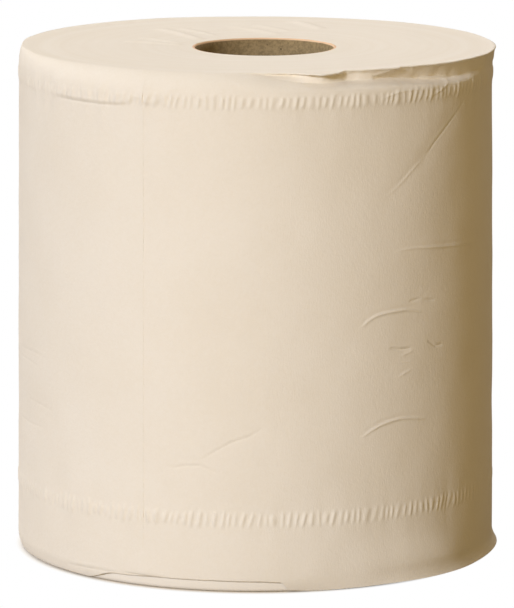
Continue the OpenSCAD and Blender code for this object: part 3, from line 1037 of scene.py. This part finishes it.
def groups_of(context):
    """The sizes, the crimps and the finish that are set in the scene."""
    scene = context.scene
    return scene.towel_roll_sizes, scene.towel_roll_crimps, scene.towel_roll_finish


def make_piece(name, mesh, tree, values, node):
    """Run a tree on a mesh, as a piece that rides with the roll and stands for a solid."""
    obj = add_object(name, mesh)
    run_tree(obj, tree, values)
    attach(obj, "root")
    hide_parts(node)
    return {"FINISHED"}


class TOWEL_ROLL_OT_outer_turn(Operator):
    """Build the loose outer turn with its tail, lifted edge, flared foot and crimped bands"""

    bl_idname = "towel_roll.outer_turn"
    bl_label = "Outer Turn"

    def execute(self, context):
        sizes, crimps, finish = groups_of(context)
        values = {
            "Crimps": crimps.count, "Rise": crimps.rise, "Length": crimps.length,
            "Fade": crimps.fade, "Lower band": crimps.low_band, "Upper band": crimps.high_band,
            "Middle X": -sizes.offset, "Seed": crimps.seed,
        }
        tree = crimp_tree(paper_material(finish), values)
        mesh = build_outer_turn(sizes)
        return make_piece("outer_turn", mesh, tree, values, "paper_roll")


class TOWEL_ROLL_OT_wound_turns(Operator):
    """Build the wound turns with both ends, the rim and the bore"""

    bl_idname = "towel_roll.wound_turns"
    bl_label = "Wound Turns"

    def execute(self, context):
        sizes, _, finish = groups_of(context)
        values = {
            "Pitch": 3.4 * MM, "Relief": 0.12 * MM, "Middle X": -sizes.offset,
            "Bore": CORE_HIGH[0], "Rim": END_OUTER, "Top": sizes.height, "Seed": 3,
        }
        tree = turn_edge_tree(end_material(finish), values)
        mesh = build_wound_turns(sizes)
        return make_piece("wound_turns", mesh, tree, values, "paper_roll")


class TOWEL_ROLL_OT_core(Operator):
    """Build the cardboard core with its ply seam"""

    bl_idname = "towel_roll.core"
    bl_label = "Core"

    def execute(self, context):
        _, _, finish = groups_of(context)
        values = {
            "Inside": CORE_BORE, "Wall": CORE_HIGH[0] - CORE_BORE, "Bottom": CORE_LOW[2],
            "Top": CORE_HIGH[2], "Ply": 85.0 * MM, "Seam": 0.25 * MM, "Columns": 181,
            "Rows": 121, "Seed": 5,
        }
        tree = core_tree(board_material(finish), values)
        mesh = bpy.data.meshes.new("core")
        return make_piece("core", mesh, tree, values, "core_tube")


class TOWEL_ROLL_OT_stage(Operator):
    """Build the floor, the soft studio light and the camera"""

    bl_idname = "towel_roll.stage"
    bl_label = "Stage"

    def execute(self, context):
        sizes, _, finish = groups_of(context)
        make_floor()
        make_world(finish)
        make_lights(finish)
        make_camera(sizes)
        context.scene.view_settings.view_transform = "Standard"
        return {"FINISHED"}


def make_floor():
    r = FLOOR_REACH
    mesh = bpy.data.meshes.new("floor")
    mesh.from_pydata([(-r, -r, 0.0), (r, -r, 0.0), (r, r, 0.0), (-r, r, 0.0)], [], [(0, 1, 2, 3)])
    floor = add_object("floor", mesh)
    mesh.materials.append(floor_material())


def make_world(finish):
    """A warm pale room to the roll, and plain white to the camera."""
    world = bpy.data.worlds.new("Studio")
    bpy.context.scene.world = world
    world.use_nodes = True
    world.node_tree.nodes.clear()
    board = Board(world.node_tree)
    room = board.add("ShaderNodeBackground", None, {"Color": rgba(finish.fill), "Strength": 1.0})
    white = board.add("ShaderNodeBackground", None, {"Color": WHITE, "Strength": 1.0})
    board.add("ShaderNodeOutputWorld", None, {"Surface": board.for_camera(room, white)})


def distant_light(name, azimuth, elevation, spread, strength):
    """A distant soft light: its azimuth runs from the front to the right, in degrees."""
    light = bpy.data.lights.new(name, "SUN")
    light.energy = max(strength)
    light.color = [channel / light.energy for channel in strength]
    light.angle = math.radians(spread)
    a, e = math.radians(azimuth), math.radians(elevation)
    toward = Vector((math.sin(a) * math.cos(e), -math.cos(a) * math.cos(e), math.sin(e)))
    obj = add_object(name, light)
    obj.location = toward * 2.0
    obj.rotation_euler = toward.to_track_quat("Z", "Y").to_euler()


def make_lights(finish):
    """A key from the left front, a wide light from behind and a warm one from the front."""
    for key, angles in LIGHTS.items():
        distant_light(key.capitalize(), *angles, getattr(finish, key))


def make_camera(sizes):
    """The camera, far off and a little above level, with a long lens."""
    above = math.radians(CAMERA_ABOVE)
    back = Vector((0.0, -math.cos(above), math.sin(above)))
    up = Vector((0.0, math.sin(above), math.cos(above)))
    aim = Vector((CAMERA_AIM, 0.0, sizes.height / 2)) - up * CAMERA_DROP
    camera = bpy.data.cameras.new("Camera")
    camera.lens = CAMERA_LENS
    camera.sensor_width = CAMERA_SENSOR
    camera.clip_end = 100.0
    obj = add_object("Camera", camera)
    obj.location = aim + back * CAMERA_FAR
    obj.rotation_euler = (-back).to_track_quat("-Z", "Y").to_euler()
    bpy.context.scene.camera = obj


class TOWEL_ROLL_PT_panel(Panel):
    """The roll's sizes and its pieces, in the 3D view's sidebar"""

    bl_idname = "TOWEL_ROLL_PT_panel"
    bl_label = "Towel Roll"
    bl_space_type = "VIEW_3D"
    bl_region_type = "UI"
    bl_category = "Towel Roll"

    def draw(self, context):
        layout = self.layout
        for group in groups_of(context):
            box = layout.box()
            for key in group.__annotations__:
                box.prop(group, key)
        for operator in OPERATORS:
            layout.operator(operator.bl_idname)


OPERATORS = (
    TOWEL_ROLL_OT_wound_turns,
    TOWEL_ROLL_OT_outer_turn,
    TOWEL_ROLL_OT_core,
    TOWEL_ROLL_OT_stage,
)
GROUPS = {
    "towel_roll_sizes": RollSizes,
    "towel_roll_crimps": CrimpSizes,
    "towel_roll_finish": RollFinish,
}


def register():
    for cls in (*GROUPS.values(), *OPERATORS, TOWEL_ROLL_PT_panel):
        bpy.utils.register_class(cls)
    for key, cls in GROUPS.items():
        setattr(bpy.types.Scene, key, PointerProperty(type=cls))


def unregister():
    for key in GROUPS:
        delattr(bpy.types.Scene, key)
    for cls in (TOWEL_ROLL_PT_panel, *OPERATORS, *GROUPS.values()):
        bpy.utils.unregister_class(cls)


def main():
    register()
    bpy.ops.towel_roll.wound_turns()
    bpy.ops.towel_roll.outer_turn()
    bpy.ops.towel_roll.core()
    bpy.ops.towel_roll.stage()


if __name__ == "__main__":
    main()
